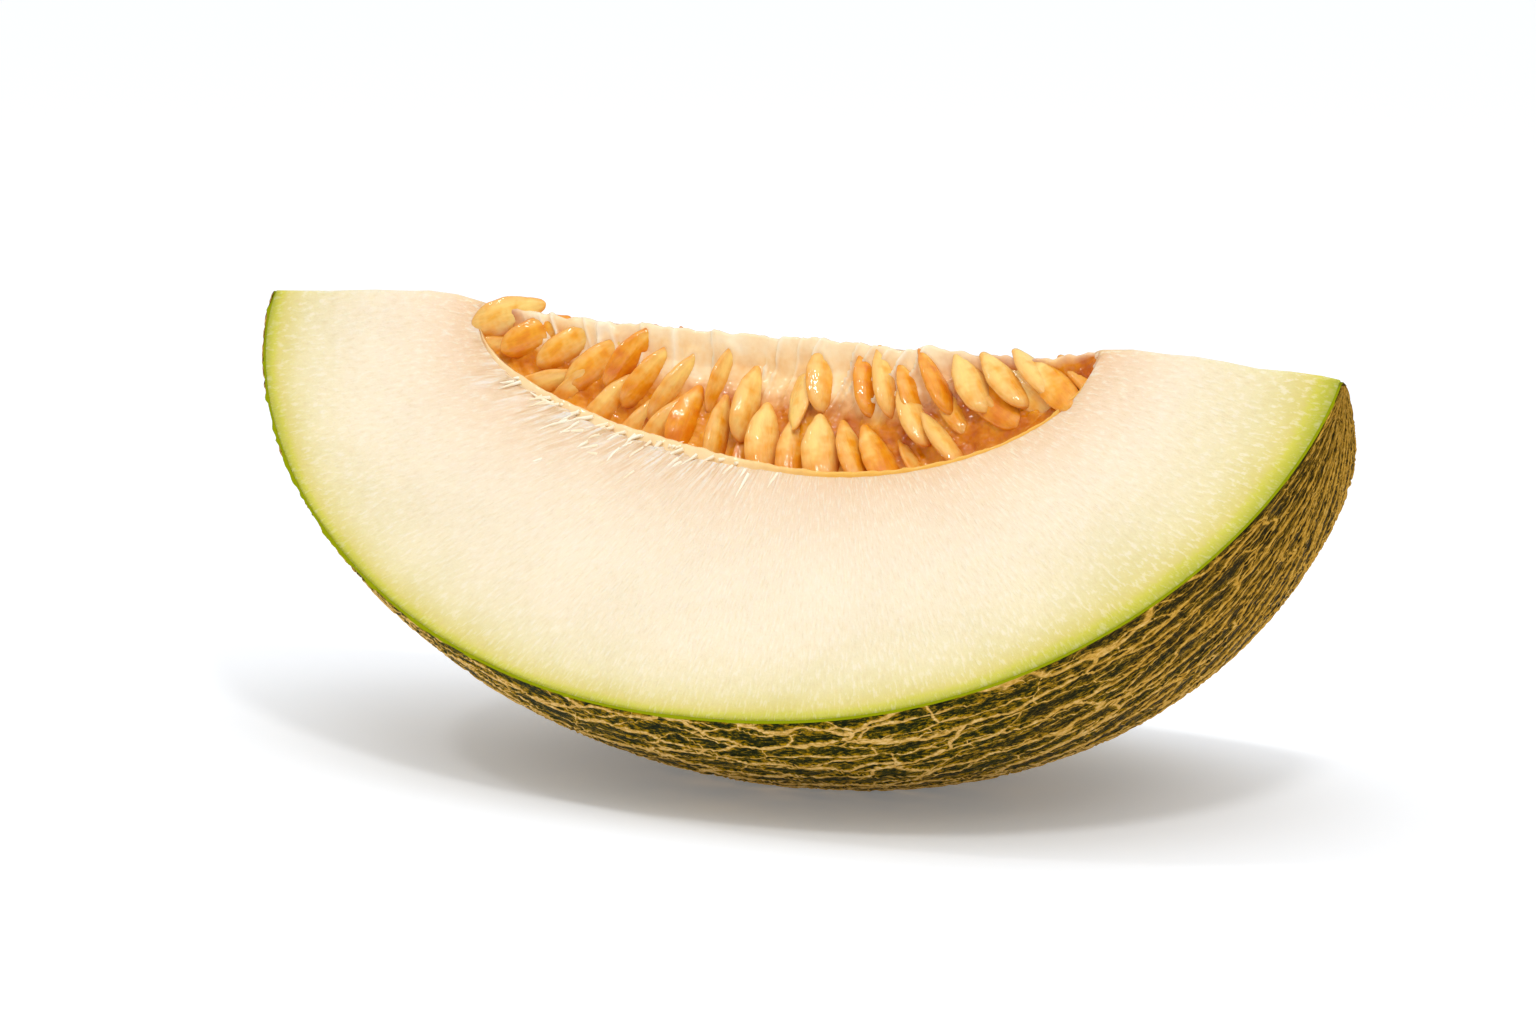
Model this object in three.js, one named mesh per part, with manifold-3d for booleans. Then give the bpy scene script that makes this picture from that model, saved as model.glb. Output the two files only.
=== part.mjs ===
// A wedge cut lengthwise from a netted green-skinned melon, with its seeds, resting on its rind.
// Millimetres, +Z up, the melon's own axis along X, the origin on the floor below the middle.
import * as THREE from "three";
import { mergeVertices } from "three/addons/utils/BufferGeometryUtils.js";
import Module from "manifold-3d";

const wasm = await Module();
wasm.setup();

// The whole melon, from tip to tip: a slimmer stem end at -X and a fuller blossom end at +X.
const melonHalfLength = 110;
const melonRadius = 80.2;
const bellyOffset = 6.4;
const stemEndShape = { power: 1.94, flatten: 0.626 };
const blossomEndShape = { power: 2.3, flatten: 0.544 };

// The wedge: two knife cuts through the axis, each this far from straight down.
const cutAngle = 42.3;
const flatSpotDepth = 0.5;

// Where the knives met, the edge of the flesh stands a little above the axis, outside the cavity.
const shoulderHeight = 2.8;
const shoulderCentre = 80;
const shoulderFootAngle = 38;
const edgeSunk = 1;

// The seed cavity, a smaller melon shape about the same axis.
const cavityHalfLength = 64;
const cavityDepth = 28.5;
const cavityBellyOffset = 15;
const cavityStemShape = { power: 1.5, flatten: 0.52 };
const cavityBlossomShape = { power: 2, flatten: 0.55 };
const frontPulpAngle = 17;
const backPulpAngle = 26;
const pulpEdge = 1.5;
const cutOvershoot = 8;

// One seed, flat and rounded at one end, pointed at the other.
const seedLength = 14.5;
const seedWidth = 5.7;
const seedThickness = 2.6;
const seedClearance = 0.3;
const seedProfile = [
  [0, 0],
  [0.06, 0.52],
  [0.2, 0.86],
  [0.42, 1],
  [0.66, 0.84],
  [0.86, 0.46],
  [0.95, 0.22],
  [1, 0],
];

// Seeds fan out from the pulp: they stand straight at fanMiddle and lean over towards both ends.
const fanMiddle = -0.12;
const fanSpread = 75;

// Each seed of the front: its place along the cavity from -1 to 1, its depth as a share of the rim's
// depth there, millimetres behind the cut, degrees of tilt out of the cut, and degrees of its own lean
// and of its turn about its length. A lean near 180 is a seed that hangs tip down.
const frontSeeds = [
  [-0.9, 0, 0.8, 0, 5, 35],
  [-0.79, 0.22, 2, 0, 5, 40],
  [-0.68, 0.3, 2.4, 5, 5, 40],
  [-0.73, 0.86, 3.6, 5, 18, 80],
  [-0.57, 0.4, 2.4, 5, 6, 45],
  [-0.5, 0.78, 3.8, 8, -2, 65],
  [-0.46, 0.22, 3.8, 10, 2, 75],
  [-0.4, 0.42, 2.8, 5, 4, 75],
  [-0.31, 0.46, 3.4, 8, 8, 80],
  [-0.3, 0.82, 4.4, 8, 10, 70],
  [-0.22, 0.72, 3.2, 8, -4, 55],
  [-0.16, 0.34, 5, 12, 2, 85],
  [-0.11, 0.76, 3.2, 8, -4, 80],
  [-0.05, 0.5, 3, 8, 2, 60],
  [0.04, 0.74, 3.4, 8, 0, 40],
  [0.1, 0.4, 3.4, 8, 180, 30],
  [0.13, 0.76, 5.2, 8, 6, 40],
  [0.16, 0.24, 3.6, 12, 6, 50],
  [0.23, 0.75, 3.4, 8, 6, 30],
  [0.3, 0.24, 3.4, 12, 12, 50],
  [0.32, 0.74, 4.6, 8, 0, 55],
  [0.36, 0.17, 3, 12, 12, 60],
  [0.4, 0.75, 4.8, 8, -2, 35],
  [0.47, 0.46, 3, 8, 8, 45],
  [0.58, 0.67, 3.6, 8, 4, 55],
  [0.57, 0.38, 3.4, 8, 8, 35],
  [0.7, 0.43, 2, 5, 2, 0],
  [0.8, 0.28, 1.8, 5, 12, 0],
  [0.89, 0.16, 1.6, 5, 26, 20],
  [0.44, 0.3, 4.4, 12, 12, 70],
  [0.52, 0.13, 3.2, 10, 10, 70],
  [0.63, 0.1, 2.6, 8, 14, 30],
  [0.73, 0.06, 2.6, 8, 12, 40],
  [0.82, -0.02, 2.4, 8, 16, 50],
  [0.98, 0.1, 3, 0, 30, 60],
  [-0.95, 1.05, 3.6, 0, 8, 60],
  [-0.62, 0.68, 6.8, 8, 8, 70],
  [-0.4, 0.8, 6.4, 8, 6, 70],
  [-0.03, 0.82, 7.6, 8, 4, 60],
  [0.31, 0.86, 8, 8, 2, 60],
  [0.5, 0.78, 7.4, 8, 4, 70],
  [0.67, 0.34, 5, 8, 6, 70],
];

// The back of the cavity holds two even rows, the lower against the cavity wall.
const backRows = [
  { count: 10, from: -0.62, to: 0.8, depth: 0.78, behind: 3.4, lean: 4 },
  { count: 6, from: -0.36, to: 0.58, depth: 0.34, behind: 1.2, lean: -4 },
];
const backTilt = 8;
const backTurn = 58;
const backTurnSway = 12;

const latheSegments = 64;
const profileSteps = 36;
const cavitySegments = 48;
const cavitySteps = 24;
const seedSegments = 8;
const shoulderSteps = 36;

const fleshLook = new THREE.MeshStandardMaterial({ color: 0xf3e6bd, roughness: 0.45, metalness: 0 });
const seedLook = new THREE.MeshStandardMaterial({ color: 0xd9953f, roughness: 0.3, metalness: 0 });

const radians = THREE.MathUtils.degToRad;

// Radius of a melon-like body at x: full at its belly, closing to nothing at both ends.
function bodyRadius(x, halfLength, belly, radius, stemShape, blossomShape) {
  const shape = x < belly ? stemShape : blossomShape;
  const reach = x < belly ? halfLength + belly : halfLength - belly;
  const share = Math.min(Math.abs(x - belly) / reach, 1);
  return radius * (1 - share ** shape.power) ** shape.flatten;
}

function cavityRadius(x) {
  return bodyRadius(
    x, cavityHalfLength, cavityBellyOffset, cavityDepth, cavityStemShape, cavityBlossomShape,
  );
}

function melonRadiusAt(x) {
  return bodyRadius(
    x, melonHalfLength, bellyOffset, melonRadius, stemEndShape, blossomEndShape,
  );
}

// A solid of a closed geometry, its doubled vertices merged and its empty triangles dropped.
function solidFrom(geometry) {
  const bare = geometry.clone();
  bare.deleteAttribute("normal");
  bare.deleteAttribute("uv");
  const merged = mergeVertices(bare, 1e-4);
  const corners = merged.index.array;
  const kept = [];
  for (let i = 0; i < corners.length; i += 3) {
    const [a, b, c] = [corners[i], corners[i + 1], corners[i + 2]];
    if (a !== b && b !== c && c !== a) kept.push(a, b, c);
  }
  return new wasm.Manifold(
    new wasm.Mesh({
      numProp: 3,
      vertProperties: new Float32Array(merged.attributes.position.array),
      triVerts: new Uint32Array(kept),
    }),
  );
}

function geometryFrom(solid) {
  const mesh = solid.getMesh();
  const geometry = new THREE.BufferGeometry();
  geometry.setAttribute("position", new THREE.BufferAttribute(mesh.vertProperties, 3));
  geometry.setIndex(new THREE.BufferAttribute(mesh.triVerts, 1));
  geometry.computeVertexNormals();
  return geometry;
}

// The largest body of a solid: crumbs that a cut leaves loose fall away.
function largestBody(solid) {
  return solid.decompose().reduce((best, body) => (body.volume() > best.volume() ? body : best));
}

// A body of revolution about X. Its steps crowd towards the ends, where the outline turns fast.
function bodyAboutX(radiusAt, halfLength, steps, segments) {
  const profile = [];
  for (let i = 0; i <= steps; i++) {
    const x = -halfLength * Math.cos((Math.PI * i) / steps);
    const radius = i === 0 || i === steps ? 0 : radiusAt(x);
    profile.push(new THREE.Vector2(radius, x));
  }
  return solidFrom(new THREE.LatheGeometry(profile, segments).rotateZ(-Math.PI / 2));
}

// Directions in a cross-section, by degrees from straight down, positive towards the front.
function across(angle, distance) {
  return new THREE.Vector2(
    -Math.sin(radians(angle)) * distance,
    -Math.cos(radians(angle)) * distance,
  );
}

// A prism along X between two planes that meet in an edge at the apex.
function sectorAlongX(fromAngle, toAngle, reach, apex, halfLength) {
  const outline = new THREE.Shape([
    apex,
    apex.clone().add(across(fromAngle, reach)),
    apex.clone().add(across(toAngle, reach)),
  ]);
  const prism = new THREE.ExtrudeGeometry(outline, {
    depth: 2 * halfLength, bevelEnabled: false, steps: 1,
  });
  const turned = new THREE.Matrix4().makeBasis(
    new THREE.Vector3(0, 1, 0), new THREE.Vector3(0, 0, 1), new THREE.Vector3(1, 0, 0),
  );
  return solidFrom(prism.applyMatrix4(turned).translate(-halfLength, 0, 0));
}

// The raised edge of both shoulders: a narrower prism whose apex rises above the axis there.
function shoulderRidge(reach) {
  const rise = [
    [-melonHalfLength - 2, -edgeSunk],
    [-melonHalfLength + 12, 0.45 * shoulderHeight],
    [-shoulderCentre, shoulderHeight],
    [-cavityHalfLength - 3, 0.3 * shoulderHeight],
    [-cavityHalfLength + 10, -edgeSunk],
    [0, -edgeSunk],
    [cavityHalfLength - 10, -edgeSunk],
    [cavityHalfLength + 3, 0.3 * shoulderHeight],
    [shoulderCentre, shoulderHeight],
    [melonHalfLength - 12, 0.45 * shoulderHeight],
    [melonHalfLength + 2, -edgeSunk],
  ];
  const path = new THREE.CatmullRomCurve3(rise.map(([x, z]) => new THREE.Vector3(x, 0, z)));
  const foot = across(shoulderFootAngle, reach);
  const outline = new THREE.Shape([
    new THREE.Vector2(0, 0),
    new THREE.Vector2(-foot.x, -foot.y),
    new THREE.Vector2(foot.x, -foot.y),
  ]);
  return solidFrom(
    new THREE.ExtrudeGeometry(outline, { steps: shoulderSteps, extrudePath: path, bevelEnabled: false }),
  );
}

// Cuts the seed room between one knife cut and the pulp that stays in the middle.
function seedRoom(pulpAngle, side) {
  const openAngle = side * (cutAngle + cutOvershoot);
  const closedAngle = side * pulpAngle;
  const cavity = bodyAboutX(cavityRadius, cavityHalfLength, cavitySteps, cavitySegments);
  const sector = sectorAlongX(
    Math.max(openAngle, closedAngle),
    Math.min(openAngle, closedAngle),
    2 * cavityDepth,
    across(side * cutAngle, pulpEdge),
    melonHalfLength,
  );
  return cavity.intersect(sector);
}

function seedGeometry(grow) {
  const length = seedLength + 2 * grow;
  const profile = seedProfile.map(
    ([along, width]) => new THREE.Vector2(width * (seedWidth / 2 + grow), (along - 0.5) * length),
  );
  const flattened = (seedThickness + 2 * grow) / (seedWidth + 2 * grow);
  return new THREE.LatheGeometry(profile, seedSegments).scale(1, 1, flattened);
}

// Where a seed lies. Side 1 is the front cut and -1 the back cut.
function seedPlace(side, [along, depthShare, behind, tilt, lean, turn]) {
  const x = along * cavityHalfLength;
  const down = across(side * cutAngle, 1);
  const inCut = new THREE.Vector3(0, down.x, down.y);
  const outward = new THREE.Vector3(0, side * down.y, -side * down.x);
  const fan = radians(lean - (along - fanMiddle) * fanSpread);
  const towardsTip = new THREE.Vector3(Math.sin(fan), 0, 0).addScaledVector(inCut, -Math.cos(fan));
  const length = towardsTip
    .multiplyScalar(Math.cos(radians(tilt)))
    .addScaledVector(outward, Math.sin(radians(tilt)))
    .normalize();
  const flat = outward.clone().addScaledVector(length, -outward.dot(length)).normalize();
  const normal = flat.applyAxisAngle(length, side * radians(turn));
  const width = new THREE.Vector3().crossVectors(length, normal);
  const centre = new THREE.Vector3(x, 0, 0)
    .addScaledVector(inCut, depthShare * cavityRadius(x))
    .addScaledVector(outward, -behind);
  return new THREE.Matrix4().makeBasis(width, length, normal).setPosition(centre);
}

function backSeedRows() {
  return backRows.flatMap(({ count, from, to, depth, behind, lean }) =>
    Array.from({ length: count }, (unused, i) => [
      from + ((to - from) * i) / (count - 1),
      depth,
      behind,
      backTilt,
      lean,
      backTurn + backTurnSway * Math.sin(i * count),
    ]),
  );
}

const seeds = [
  ...frontSeeds.map((seed, i) => ({ name: "seed_front_" + (i + 1), place: seedPlace(1, seed) })),
  ...backSeedRows().map((seed, i) => ({ name: "seed_back_" + (i + 1), place: seedPlace(-1, seed) })),
];

// Seeds press against each other: each gives way to those laid before it.
const seedSolid = solidFrom(seedGeometry(0));
const seedPocket = solidFrom(seedGeometry(seedClearance));
let pockets = null;
for (const seed of seeds) {
  const whole = seedSolid.transform(seed.place.elements);
  seed.solid = pockets ? largestBody(whole.subtract(pockets)) : whole;
  const pocket = seedPocket.transform(seed.place.elements);
  pockets = pockets ? pockets.add(pocket) : pocket;
}

const reach = (1.1 * melonRadius) / Math.cos(radians(cutAngle));
const apex = new THREE.Vector2(0, 0);
const melon = bodyAboutX(melonRadiusAt, melonHalfLength, profileSteps, latheSegments);
const sector = sectorAlongX(cutAngle, -cutAngle, reach, apex, melonHalfLength + 1);
const floorCut = solidFrom(
  new THREE.BoxGeometry(2 * melonHalfLength, 2 * melonRadius, melonRadius).translate(
    0, 0, flatSpotDepth - 1.5 * melonRadius,
  ),
);
const wedge = largestBody(
  melon
    .intersect(sector.add(shoulderRidge(reach)))
    .subtract(floorCut)
    .subtract(seedRoom(frontPulpAngle, 1))
    .subtract(seedRoom(backPulpAngle, -1))
    .subtract(pockets),
);

const melonWedge = new THREE.Group();
melonWedge.position.z = melonRadius - flatSpotDepth;

const fruit = new THREE.Mesh(geometryFrom(wedge), fleshLook);
fruit.name = "melon_wedge";
melonWedge.add(fruit);

for (const seed of seeds) {
  const local = seed.solid.transform(seed.place.clone().invert().elements);
  const mesh = new THREE.Mesh(geometryFrom(local), seedLook);
  mesh.name = seed.name;
  mesh.applyMatrix4(seed.place);
  melonWedge.add(mesh);
}

export default melonWedge;
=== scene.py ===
import math

import bpy
import numpy as np
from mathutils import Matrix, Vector
from mathutils.kdtree import KDTree


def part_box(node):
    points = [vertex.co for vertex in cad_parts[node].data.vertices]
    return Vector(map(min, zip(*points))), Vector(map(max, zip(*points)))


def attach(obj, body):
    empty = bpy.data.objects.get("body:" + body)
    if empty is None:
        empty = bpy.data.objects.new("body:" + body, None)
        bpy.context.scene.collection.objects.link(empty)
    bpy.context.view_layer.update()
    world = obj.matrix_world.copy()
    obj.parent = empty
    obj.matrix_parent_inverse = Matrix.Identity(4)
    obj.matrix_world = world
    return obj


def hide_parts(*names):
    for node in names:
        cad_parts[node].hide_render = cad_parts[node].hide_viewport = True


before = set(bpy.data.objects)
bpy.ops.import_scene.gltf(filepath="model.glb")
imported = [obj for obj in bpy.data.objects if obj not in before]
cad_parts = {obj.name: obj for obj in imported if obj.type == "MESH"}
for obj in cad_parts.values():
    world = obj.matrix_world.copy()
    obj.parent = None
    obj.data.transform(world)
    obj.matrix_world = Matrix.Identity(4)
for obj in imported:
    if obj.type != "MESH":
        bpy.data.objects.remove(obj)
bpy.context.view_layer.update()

# the cut melon as the frame holds it: metres, the fruit's own axis along X
melon = {
    "radius": 0.0802,
    "bellyX": 0.0064,
    "stemShape": (1.94, 0.626),
    "blossomShape": (2.3, 0.544),
    "cutAngle": 42.3,
    "flatSpot": 0.0005,
    "skin": 0.0006,
}
cavity = {
    "halfLength": 0.064,
    "depth": 0.0285,
    "bellyX": 0.015,
    "stemShape": (1.5, 0.52),
    "blossomShape": (2.0, 0.55),
    "frontPulpAngle": 17.0,
    "backPulpAngle": 26.0,
    "pulpEdge": 0.0015,
}
# how far the ridge of the wedge stands above the fruit's axis, in millimetres along and up
shoulder = {
    "foot": 8.3,
    "ridge": ((-112, 0), (-107, 0.3), (-98, 0.9), (-87, 1.9), (-80, 2.2), (-75, 2.6), (-69, 2.3),
              (-62, 1.0), (-54, 0), (54, 0), (59, 0.6), (64, 2.1), (70, 2.6), (76, 2.3), (82, 2.3),
              (88, 1.8), (94, 1.1), (100, 1.1), (106, 0.8), (112, 0)),
}

halfLength = max(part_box("melon_wedge")[1].x, -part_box("melon_wedge")[0].x)
axisHeight = melon["radius"] - melon["flatSpot"]


# outlines

def bodyRadius(x, half, belly, radius, stemShape, blossomShape):
    x = np.asarray(x, float)
    stem = x < belly
    reach = np.where(stem, half + belly, half - belly)
    power = np.where(stem, stemShape[0], blossomShape[0])
    flatten = np.where(stem, stemShape[1], blossomShape[1])
    share = np.clip(np.abs(x - belly) / reach, 0, 1)
    return radius * (1 - share ** power) ** flatten


def skinRadius(x, inset=0.0):
    scale = (halfLength - inset) / halfLength
    return bodyRadius(
        np.asarray(x) / scale, halfLength, melon["bellyX"], melon["radius"] - inset,
        melon["stemShape"], melon["blossomShape"],
    )


def rimDepth(x):
    return bodyRadius(
        x, cavity["halfLength"], cavity["bellyX"], cavity["depth"],
        cavity["stemShape"], cavity["blossomShape"],
    )


def shoulderRise(x):
    along, rises = np.array(shoulder["ridge"]).T / 1000
    return np.interp(x, along, rises)


# how far the hollow's back wall lies behind the cut
def hollowDepth(side, depth):
    wall = cavity["frontPulpAngle"] if side > 0 else cavity["backPulpAngle"]
    return np.maximum(depth - cavity["pulpEdge"], 0) * math.sin(math.radians(melon["cutAngle"] - wall))


# stations from tip to tip, evenly spaced along the outline
def stationsAlong(count):
    fine = -halfLength * np.cos(np.linspace(0, math.pi, 6001))
    outline = skinRadius(fine)
    run = np.concatenate([[0], np.cumsum(np.hypot(np.diff(fine), np.diff(outline)))])
    return np.interp(np.linspace(0, run[-1], count), run, fine), run[-1]


# down a cut face and straight out of it; side 1 is the front, -1 the back
def cutDirections(side):
    turn = math.radians(melon["cutAngle"])
    down = np.array([0, -side * math.sin(turn), -math.cos(turn)])
    outward = np.array([0, -side * math.cos(turn), math.sin(turn)])
    return down, outward


def smoothStep(low, high, value):
    share = np.clip((value - low) / (high - low), 0, 1)
    return share * share * (3 - 2 * share)


# the hollow's lip is torn and soft on the left of the front, crisp elsewhere
def softLip(side, x):
    return smoothStep(0.012, -0.012, x) * smoothStep(-0.062, -0.045, x) * (side > 0)


# smooth random fields in numpy, fixed by their seed

def waveNoise(points, size, seed, octaves=3):
    picks = np.random.default_rng(seed)
    total = np.zeros(len(points))
    strength = 1.0
    for _ in range(octaves):
        for _ in range(7):
            direction = picks.normal(size=points.shape[1])
            direction /= np.linalg.norm(direction)
            pitch = 2 * math.pi / (size * picks.uniform(0.7, 1.5))
            total += strength * np.sin(points @ direction * pitch + picks.uniform(0, 6.28)) / 3.5
        strength *= 0.5
        size *= 0.48
    return total


# mesh helpers

def addObject(name, data):
    thing = bpy.data.objects.new(name, data)
    bpy.context.scene.collection.objects.link(thing)
    return thing


def makeMesh(name, verts, faces, fields=None, smooth=True):
    mesh = bpy.data.meshes.new(name)
    mesh.from_pydata([tuple(v) for v in verts], [], [tuple(f) for f in faces])
    mesh.update()
    for field, values in (fields or {}).items():
        values = np.asarray(values, np.float32)
        kind = "FLOAT" if values.ndim == 1 else "FLOAT_VECTOR"
        store = mesh.attributes.new(field, kind, "POINT")
        store.data.foreach_set("value" if kind == "FLOAT" else "vector", values.ravel())
    if smooth:
        mesh.shade_smooth()
    return addObject(name, mesh)


def gridFaces(index):
    corners = (index[:-1, :-1], index[1:, :-1], index[1:, 1:], index[:-1, 1:])
    return np.stack([corner.ravel() for corner in corners], 1)


# points of the fruit's round outside at one angle about its axis, without the tips
def roundPoints(x, radii, angle):
    x, radii = x[1:-1], radii[1:-1]
    return np.stack([x, -np.sin(angle) * radii, axisHeight - np.cos(angle) * radii], 1)


# a sheet's points with the two tips it runs out to
def withTips(index, first=0, last=1):
    return np.vstack([np.full((1, index.shape[1]), first), index, np.full((1, index.shape[1]), last)])


# drops the doubled corners of faces that shrink to a triangle at a tip
def cleanFaces(faces):
    kept = [list(dict.fromkeys(map(int, face))) for face in faces]
    return [corners for corners in kept if len(corners) > 2]


def cloudOf(points):
    tree = KDTree(len(points))
    for i, point in enumerate(points):
        tree.insert(point, i)
    tree.balance()
    return tree


def finishPiece(piece, slot, *nodes):
    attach(piece, "root")
    if nodes:
        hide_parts(*nodes)


# material helpers

def newMaterial(name):
    material = bpy.data.materials.new(name)
    material.use_nodes = True
    nodes = material.node_tree.nodes
    nodes.clear()
    output = nodes.new("ShaderNodeOutputMaterial")
    shader = nodes.new("ShaderNodeBsdfPrincipled")
    material.node_tree.links.new(shader.outputs[0], output.inputs[0])
    return material, material.node_tree, shader


# a number is a grey, three values are a colour as a screen shows it, four stay as they are
def colourOf(value):
    def one(part):
        part /= 255
        return part / 12.92 if part <= 0.04045 else ((part + 0.055) / 1.055) ** 2.4
    if isinstance(value, (int, float)):
        return (value, value, value, 1.0)
    return (*map(one, value), 1.0) if len(value) == 3 else value


# the tree that the first of these sockets belongs to
def treeOf(*values):
    return next(value.id_data for value in values if isinstance(value, bpy.types.NodeSocket))


# links what comes from another node, and sets what is the same all over on the node's own sockets
def setSockets(node, values):
    for name, value in values.items():
        if isinstance(value, bpy.types.NodeSocket):
            node.id_data.links.new(value, node.inputs[name])
        elif value is not None:
            node.inputs[name].default_value = value


def addNode(tree, kind, values, **traits):
    node = tree.nodes.new(kind)
    for name, trait in traits.items():
        setattr(node, name, trait)
    setSockets(node, values)
    return node


def calc(kind, first, second=None, clamp=False):
    tree, values = treeOf(first, second), {0: first, 1: second}
    return addNode(tree, "ShaderNodeMath", values, operation=kind, use_clamp=clamp).outputs[0]


def times(first, second):
    return calc("MULTIPLY", first, second)


def plus(first, second):
    return calc("ADD", first, second)


def minus(first, second):
    return calc("SUBTRACT", first, second)


def vectorCalc(kind, first, second=None, scale=None):
    tree, values = treeOf(first, second), {0: first, 1: second, "Scale": scale}
    node = addNode(tree, "ShaderNodeVectorMath", values, operation=kind)
    return node.outputs["Value"] if kind in ("DOT_PRODUCT", "LENGTH") else node.outputs[0]


def stretched(vector, by):
    return vectorCalc("MULTIPLY", vector, by)


def noise(vector, scale, detail=2.0, rough=0.5, colour=False):
    values = {"Vector": vector, "Scale": scale, "Detail": detail, "Roughness": rough}
    return addNode(vector.id_data, "ShaderNodeTexNoise", values).outputs["Color" if colour else "Fac"]


def ramp(value, stops, smooth=False):
    node = addNode(value.id_data, "ShaderNodeValToRGB", {"Fac": value})
    band = node.color_ramp
    band.interpolation = "EASE" if smooth else "LINEAR"
    while len(band.elements) < len(stops):
        band.elements.new(0.5)
    for element, (place, colour) in zip(band.elements, stops):
        element.position = place
        element.color = colourOf(colour)
    return node.outputs["Color"]


def mixColour(amount, first, second, kind="MIX"):
    values = {0: amount}
    for slot, value in ((6, first), (7, second)):
        values[slot] = colourOf(value) if isinstance(value, tuple) else value
    tree = treeOf(amount, first, second)
    return addNode(tree, "ShaderNodeMix", values, data_type="RGBA", blend_type=kind).outputs[2]


def fieldOf(tree, name, vector=False):
    node = addNode(tree, "ShaderNodeAttribute", {}, attribute_name=name)
    return node.outputs["Vector" if vector else "Fac"]


def bump(shader, height, strength, distance, socket="Normal"):
    values = {"Strength": strength, "Distance": distance, "Height": height}
    setSockets(shader, {socket: addNode(shader.id_data, "ShaderNodeBump", values).outputs[0]})


# a vector's three parts
def partsOf(vector):
    return addNode(vector.id_data, "ShaderNodeSeparateXYZ", {0: vector}).outputs


# where a point lies on its own piece
def objectPlace(tree):
    return tree.nodes.new("ShaderNodeTexCoord").outputs["Object"]


# an empty geometry tree with its named inputs
def newTree(name, inputs):
    tree = bpy.data.node_groups.new(name, "GeometryNodeTree")
    for title, kind in (("Geometry", "Geometry"), *inputs):
        tree.interface.new_socket(title, in_out="INPUT", socket_type="NodeSocket" + kind)
    tree.interface.new_socket("Geometry", in_out="OUTPUT", socket_type="NodeSocketGeometry")
    return tree, tree.nodes.new("NodeGroupInput"), tree.nodes.new("NodeGroupOutput")


# moves a geometry's points, paints it and hands it to the tree's end
def finishTree(tree, shape, offset, coat, end):
    moved = addNode(tree, "GeometryNodeSetPosition", {"Geometry": shape, "Offset": offset}).outputs[0]
    painted = addNode(tree, "GeometryNodeSetMaterial", {"Geometry": moved, "Material": coat}).outputs[0]
    setSockets(end, {0: painted})


# a field stored on a mesh, read inside a geometry tree
def storedField(tree, name, kind):
    node = addNode(tree, "GeometryNodeInputNamedAttribute", {"Name": name}, data_type=kind)
    return node.outputs["Attribute"]


# camera, light and floor

view = {
    "azimuth": 29.55, "elevation": 8.63, "distance": 1.1, "lens": 143.65,
    "aimRight": -0.0026, "aimUp": -0.0319,
}


def makeCamera():
    turn, lift = math.radians(view["azimuth"]), math.radians(view["elevation"])
    towards = Vector((math.sin(turn) * math.cos(lift), -math.cos(turn) * math.cos(lift), math.sin(lift)))
    right = Vector((math.cos(turn), math.sin(turn), 0))
    up = towards.cross(right)
    axisMiddle = Vector((0, 0, axisHeight))
    data = bpy.data.cameras.new("studioCamera")
    data.lens = view["lens"]
    data.sensor_width = 36
    data.clip_end = 50
    camera = addObject("studioCamera", data)
    camera.location = axisMiddle + towards * view["distance"]
    aim = axisMiddle + right * view["aimRight"] + up * view["aimUp"]
    camera.rotation_euler = (aim - camera.location).to_track_quat("-Z", "Y").to_euler()
    bpy.context.scene.camera = camera


studio = {
    "overhead": 0.97, "sides": 0.50,
    "sun": {"towards": (0.36, -0.30, 0.90), "strength": 0.40, "spread": 50},
    "glints": [
        {"place": (0.38, -0.44, 0.82), "size": 0.13, "power": 1.9},
        {"place": (-0.46, -0.30, 0.84), "size": 0.09, "power": 0.8},
    ],
    "floorGlow": 0.16,
}


def aimLight(light, towards):
    light.rotation_euler = Vector(towards).to_track_quat("Z", "Y").to_euler()


def makeLights():
    data = bpy.data.lights.new("softSun", "SUN")
    data.energy = studio["sun"]["strength"]
    data.angle = math.radians(studio["sun"]["spread"])
    aimLight(addObject("softSun", data), studio["sun"]["towards"])
    for glint in studio["glints"]:
        data = bpy.data.lights.new("glint", "AREA")
        data.shape = "DISK"
        data.size = glint["size"]
        data.energy = glint["power"]
        light = addObject("glint", data)
        light.location = glint["place"]
        aimLight(light, glint["place"])


def makeStudio():
    makeLights()
    world = bpy.data.worlds.new("studioWorld")
    world.use_nodes = True
    height = partsOf(world.node_tree.nodes.new("ShaderNodeTexCoord").outputs["Generated"])[2]
    bands = [(0.0, studio["sides"]), (0.5, studio["sides"]), (0.72, studio["overhead"])]
    setSockets(world.node_tree.nodes["Background"], {"Color": ramp(height, bands, smooth=True)})
    bpy.context.scene.world = world
    bpy.context.scene.view_settings.view_transform = "Standard"
    size = 6.0
    corners = [(-size, -size, 0), (size, -size, 0), (size, size, 0), (-size, size, 0)]
    floor = makeMesh("studioFloor", corners, [(0, 1, 2, 3)], smooth=False)
    material, _, shader = newMaterial("paleFloor")
    setSockets(shader, {
        "Base Color": (0.905, 0.93, 0.965, 1), "Roughness": 0.8, "Emission Color": (1, 1, 1, 1),
        "Emission Strength": studio["floorGlow"],
    })
    floor.data.materials.append(material)


makeCamera()
makeStudio()
print("camera, light and floor are up")


# seeds

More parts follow.
